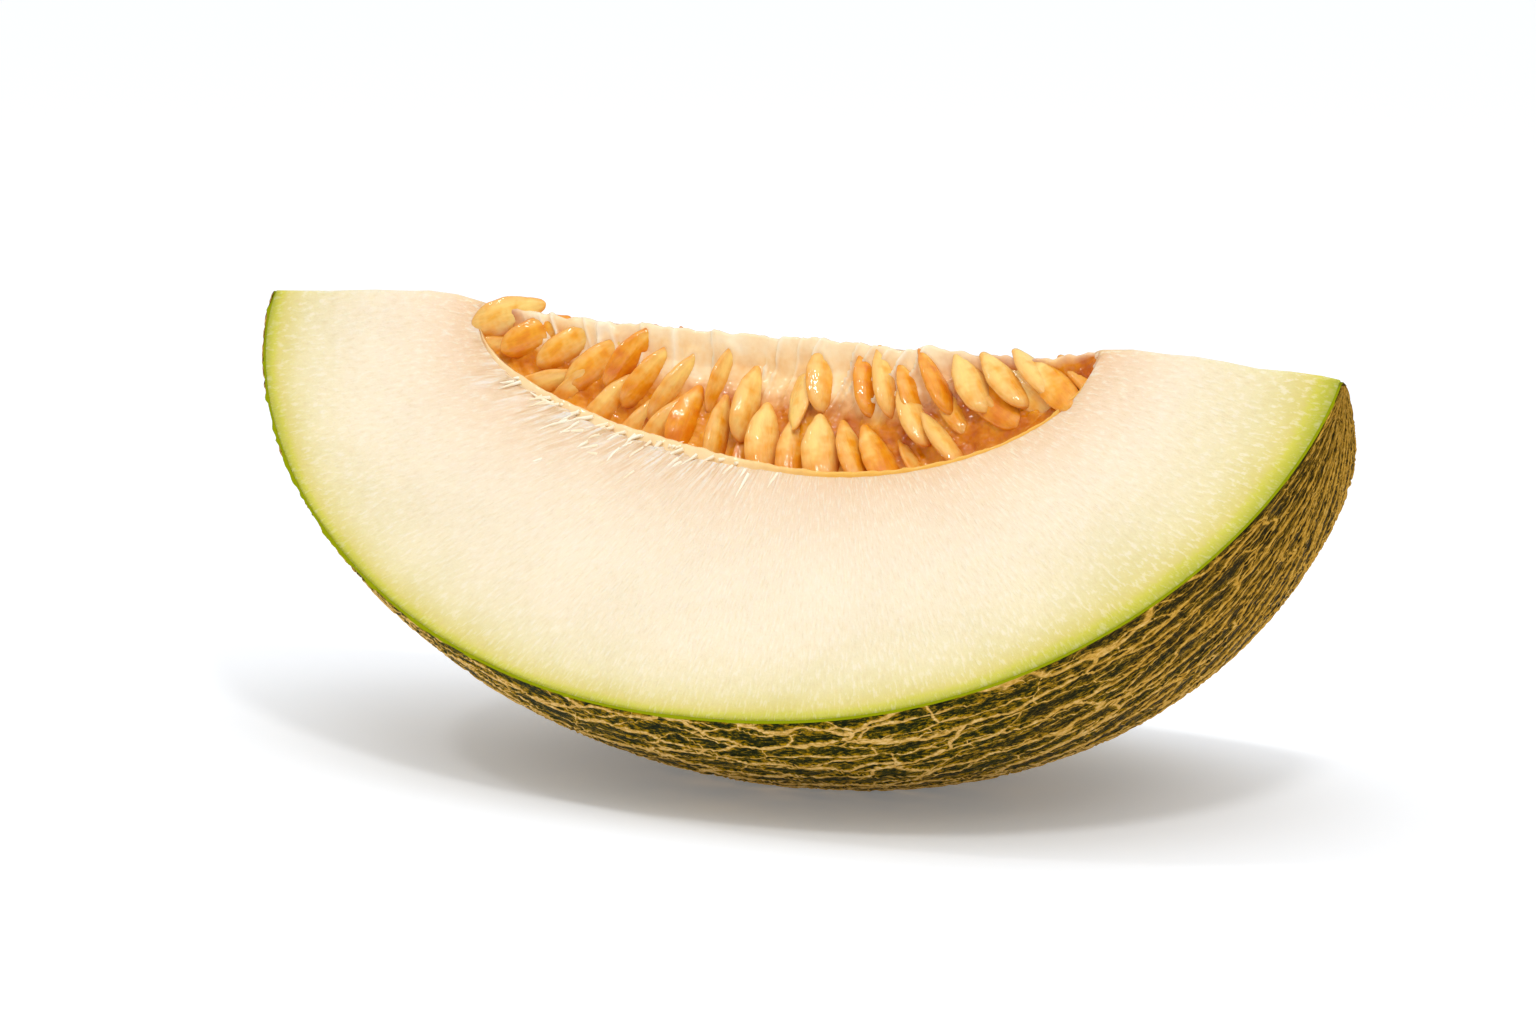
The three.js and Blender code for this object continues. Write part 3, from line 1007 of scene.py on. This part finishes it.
def buildPulp(side, name, cloud, size):
    stations, levels = size
    reach = cavity["halfLength"] * pulp["reach"]
    turn = np.linspace(-math.pi / 2, math.pi / 2, stations + 1)
    x = reach * (0.7 * np.sin(turn) + 0.3 * turn / (math.pi / 2))
    rim = np.maximum(rimDepth(x), 0.0012)
    share = np.linspace(0, 1, levels + 1)
    wide = np.broadcast_to(x[:, None], (len(x), len(share)))
    depth = rim[:, None] * share[None, :]
    wall = hollowDepth(side, depth)
    # the pulp bears the seeds: it lies just under their middles wherever there are any
    spines = seedSpines(side)
    weight = np.full(depth.shape, 0.35)
    total = weight * (wall - 0.0004)
    for along, down, under in spines:
        pull = np.exp(-((wide - along) ** 2 + (depth - down) ** 2) / (2 * pulp["spread"] ** 2))
        weight += pull
        total += pull * (under + pulp["under"])
    behind = total / weight
    top = smoothStep(-0.06, 0.12, share)[None, :]
    behind = np.minimum(behind, wall + 0.25 * depth) * top + (wall * (1 - top))
    # close to the rim it rises to the lip and then tucks in under the flesh
    soft = softLip(side, x)
    near = smoothStep(0.88, 0.97, share)[None, :]
    tuck = smoothStep(0.975, 1.0, share)[None, :]
    behind = np.maximum(behind, 0.0003) * (1 - 0.93 * near) + 0.0009 * tuck
    depth = depth + tuck * (0.0010 + 0.0022 * soft)[:, None] * smoothStep(0, 0.008, rim)[:, None]
    inside = smoothStep(0, 0.14, share)[None, :] * np.clip((1 - share) / 0.06, 0, 1)[None, :]
    inside = inside * smoothStep(0, 0.008, rim)[:, None]
    # pale folds hang from the ridge between the seeds' tips
    fan = np.radians(-(x / cavity["halfLength"] + 0.12) * 60)
    across = wide * 1000 - np.tan(fan)[:, None] * depth * 1000
    foldPlace = np.stack([across.ravel(), depth.ravel() * 130], 1)
    bends = waveNoise(foldPlace, 9.0, 20 + side, 2)
    ridges = waveNoise(foldPlace + bends[:, None] * (1.6, 0), 7.5, 21 + side, 2)
    tall = np.clip(0.7 + 0.5 * waveNoise(foldPlace, 11.0, 24 + side, 2), 0.15, 1.4)
    folds = ((np.clip(1 - np.abs(ridges) * 2.1, 0, 1) ** 1.4) * tall).reshape(depth.shape)
    flatPoint = np.stack([wide.ravel(), depth.ravel(), wide.ravel() * 0], 1) * 1000
    lumps = waveNoise(flatPoint, 4.0, 33 + side, 3).reshape(depth.shape)
    upper = smoothStep(0.62, 0.18, share)[None, :] * smoothStep(-0.060, -0.048, x)[:, None]
    upper = upper * smoothStep(0.050, 0.024, x)[:, None]
    grain = waveNoise(flatPoint, 1.7, 37 + side, 2).reshape(depth.shape)
    rough = 1 - 0.6 * upper
    push = pulp["fold"] * folds * (0.25 + upper) + 0.0004 * upper
    push = push + (pulp["lump"] * lumps + pulp["grain"] * grain) * rough
    lift = smoothStep(0.0, 0.03, share) * smoothStep(0.22, 0.08, share)
    ends = smoothStep(0.003, 0.010, rim)[:, None]
    behind = behind - push * inside - pulp["ridgeLift"] * lift[None, :] * ends
    point = cutPoint(side, wide, depth, behind)
    outward = cutDirections(side)[1]
    ragged = waveNoise(np.stack([x * 1000, x * 0], 1), 9.0, 44 + side, 3)
    crown = smoothStep(0.2, 0.0, share)[None, :] * ends
    # the front sheet laps over the ridge and the back one tucks in under it
    if side > 0:
        point[..., 2] += (pulp["crownWave"] * ragged[:, None] + pulp["crownUp"]) * crown
        point[..., 1] += pulp["lap"] * crown ** 16
        point[..., 2] -= pulp["lap"] * crown ** 16
    else:
        point[..., 2] -= pulp["backTuck"] * crown
    flat = point.reshape(-1, 3)
    near = np.array([cloud.find(Vector(spot))[2] for spot in flat]).reshape(depth.shape)
    hug = np.exp(-(near / pulp["hug"]) ** 2) * inside
    point = point + (pulp["hugLift"] * hug)[..., None] * outward
    thin = np.clip(np.minimum(share / 0.06, (1 - share) / 0.04), 0.15, 1)[None, :, None]
    rearPoint = point - pulp["thick"] * outward * thin
    count = depth.size
    face = np.arange(count).reshape(depth.shape)
    rear = face + count
    faces = [gridFaces(face)[:, ::-1], gridFaces(rear)]
    edges = (
        (face[:, 0], rear[:, 0]), (rear[:, -1], face[:, -1]), (rear[0], face[0]), (face[-1], rear[-1]),
    )
    faces = np.vstack(faces + [gridFaces(np.stack(edge, 1)) for edge in edges])
    if side < 0:
        faces = faces[:, ::-1]
    place = np.stack([wide * 1000, depth * 1000, np.broadcast_to(share, depth.shape)], -1).reshape(-1, 3)
    fields = {"place": np.vstack([place, place])}
    for field, values in (("fold", folds * upper), ("upper", upper * np.ones_like(depth))):
        fields[field] = np.concatenate([values.ravel()] * 2)
    verts = np.vstack([point.reshape(-1, 3), rearPoint.reshape(-1, 3)])
    return makeMesh(name, verts, faces, fields)


def pulpMaterial():
    material, tree, shader = newMaterial("wetSeedPulp")
    place = fieldOf(tree, "place", vector=True)
    fold, upper = (fieldOf(tree, name) for name in ("fold", "upper"))
    where = objectPlace(tree)
    along, _, share = partsOf(place)
    blot = noise(where, 150, 3, 0.6)
    fine = noise(where, 900, 3, 0.6)
    # the dark orange low tone, deep in the hollow and at its ends, is partly the pulp's own colour and
    # partly painted shade in the gaps between the seeds; the pale high tone covers the upper wall
    low = ramp(blot, [(0.35, (188, 92, 0)), (0.5, (216, 126, 0)), (0.68, (240, 168, 34))])
    high = ramp(blot, [(0.35, (248, 196, 130)), (0.5, (254, 214, 158)), (0.68, (255, 230, 190))])
    level = plus(upper, times(minus(blot, 0.5), 0.4))
    tone = mixColour(ramp(level, [(0.15, 0), (0.75, 1)]), low, high)
    crown = ramp(share, [(0.02, 1), (0.16, 0)])
    tone = mixColour(times(crown, 0.8), tone, (251, 228, 192))
    # the folds are partly pale tissue of their own and partly painted highlight on their crests, with
    # painted shade between them
    foldTissueAndHighlight = ramp(fold, [(0.15, 0), (0.7, 1)])
    tone = mixColour(times(foldTissueAndHighlight, 0.65), tone, (255, 241, 216))
    amber = ramp(share, [(0.74, 0), (0.9, 0.8)])
    tone = mixColour(amber, tone, (244, 176, 52))
    # the lip is pale and torn towards one end and clear amber towards the other
    rightward = ramp(plus(times(along, 0.01), 0.5), [
        (0.45, 0), (0.7, 1)])
    lip = mixColour(rightward, (254, 226, 178), (248, 192, 92))
    rim = ramp(share, [(0.90, 0), (0.95, 0.6), (1.0, 1)])
    tone = mixColour(rim, tone, lip)
    setSockets(shader, {
        "Base Color": tone, "Roughness": ramp(fine, [(0.3, 0.18), (0.7, 0.36)]),
        "Subsurface Weight": 0.12, "Subsurface Radius": (1.0, 0.8, 0.4), "Subsurface Scale": 0.002,
        "Coat Weight": 0.4, "Coat Roughness": 0.06, "Specular IOR Level": 0.15,
    })
    bump(shader, plus(fine, blot), 0.12, 0.0004)
    return material


cloud = cloudOf([v.co.copy() for piece in seeds for v in piece.data.vertices])
wetPulp = pulpMaterial()
for side, name, size in ((1, "seedPulpFront", pulp["front"]), (-1, "seedPulpBack", pulp["back"])):
    piece = buildPulp(side, name, cloud, size)
    piece.data.materials.append(wetPulp)
    finishPiece(piece, "pulp")
print("pulp folded")


# torn white fibres along the soft lip of the hollow

fibre = {
    "down": 44, "downX": (-0.056, -0.030, 0.012), "downLong": (0.0025, 0.0075),
    "inwards": 10, "inwardsX": (-0.054, 0.004), "inwardsLong": (0.0015, 0.0030),
    "radius": 0.00034, "wobble": 0.0009,
    "seed": 8,
}


# where each strand starts, which way it runs and how long it is
def fibreRoots():
    picks = np.random.default_rng(fibre["seed"])
    down, outward = cutDirections(1)
    roots, runs, longs = [], [], []
    for i in range(fibre["down"] + fibre["inwards"]):
        inwards = i >= fibre["down"]
        x = float(picks.uniform(*fibre["inwardsX"]) if inwards else picks.triangular(*fibre["downX"]))
        rim = float(rimDepth(x))
        off = 0.0004 if inwards else float(picks.exponential(0.0024)) - 0.0002
        under = 0.0003 if inwards else 0.00014
        point = cutPoint(1, np.array([x]), np.array([rim + off]), np.array([under]))[0]
        away = np.array([x - flesh["fanX"], 0, 0]) + down * rim
        away /= np.linalg.norm(away)
        turn = picks.normal(0, 0.22)
        run = away * math.cos(turn) + np.cross(outward, away) * math.sin(turn)
        if inwards:
            run = -run * 0.85 - outward * picks.uniform(0.35, 0.9)
        roots.append(point)
        runs.append(run / np.linalg.norm(run))
        longs.append(picks.uniform(*fibre["inwardsLong" if inwards else "downLong"]))
    return roots, runs, longs


def fibreTree():
    inputs = (("Strand radius", "Float"), ("Wobble", "Float"), ("Coat", "Material"))
    tree, start, end = newTree("tornFibres", inputs)

    def add(kind, values, **traits):
        return addNode(tree, kind, values, **traits).outputs[0]

    points = add("GeometryNodeMeshToPoints", {"Mesh": start.outputs["Geometry"]})
    line = add("GeometryNodeCurvePrimitiveLine", {"End": (0, 0, 1)})
    spread = add("GeometryNodeResampleCurve", {"Count": 8, "Curve": line})
    ring = add("GeometryNodeCurvePrimitiveCircle", {"Resolution": 5, "Radius": 1.0})
    taper = minus(1.0, calc("POWER", add("GeometryNodeSplineParameter", {}), 1.6))
    taper = plus(times(taper, 0.045), 0.004)
    strand = add("GeometryNodeCurveToMesh", {
        "Curve": spread, "Scale": taper, "Profile Curve": ring, "Fill Caps": True,
    })
    run, long = storedField(tree, "run", "FLOAT_VECTOR"), storedField(tree, "long", "FLOAT")
    turn = add("FunctionNodeAlignRotationToVector", {"Vector": run}, axis="Z")
    width = times(start.outputs["Strand radius"], 22.0)
    size = add("ShaderNodeCombineXYZ", {0: width, 1: width, 2: long})
    strands = add("GeometryNodeInstanceOnPoints", {
        "Points": points, "Instance": strand, "Rotation": turn, "Scale": size,
    })
    whole = add("GeometryNodeRealizeInstances", {0: strands})
    shift = noise(add("GeometryNodeInputPosition", {}), 330, 2, 0.5, colour=True)
    shift = vectorCalc("SUBTRACT", shift, (0.5,) * 3)
    offset = vectorCalc("SCALE", shift, scale=start.outputs["Wobble"])
    finishTree(tree, whole, offset, start.outputs["Coat"], end)
    return tree


def fibreMaterial():
    material, tree, shader = newMaterial("wetWhiteFibre")
    where = objectPlace(tree)
    blot = noise(where, 260, 2, 0.5)
    tone = ramp(blot, [(0.35, (255, 236, 200)), (0.6, (255, 247, 224))])
    setSockets(shader, {"Base Color": tone, "Roughness": 0.6, "Specular IOR Level": 0.2})
    return material


def makeFibres():
    roots, runs, longs = fibreRoots()
    piece = makeMesh("lipFibres", roots, [], {"run": runs, "long": longs}, smooth=False)
    values = {"Strand radius": fibre["radius"], "Wobble": fibre["wobble"], "Coat": fibreMaterial()}
    applyTree(piece, fibreTree(), values)
    piece.data.shade_smooth()
    finishPiece(piece, "pulp")
    return piece


fibrePiece = makeFibres()
print("fibres torn:", len(fibrePiece.data.polygons), "faces")

finishPiece(fleshPiece, "flesh", "melon_wedge")
finishPiece(rindPiece, "rind", "melon_wedge")

print("melon wedge done")
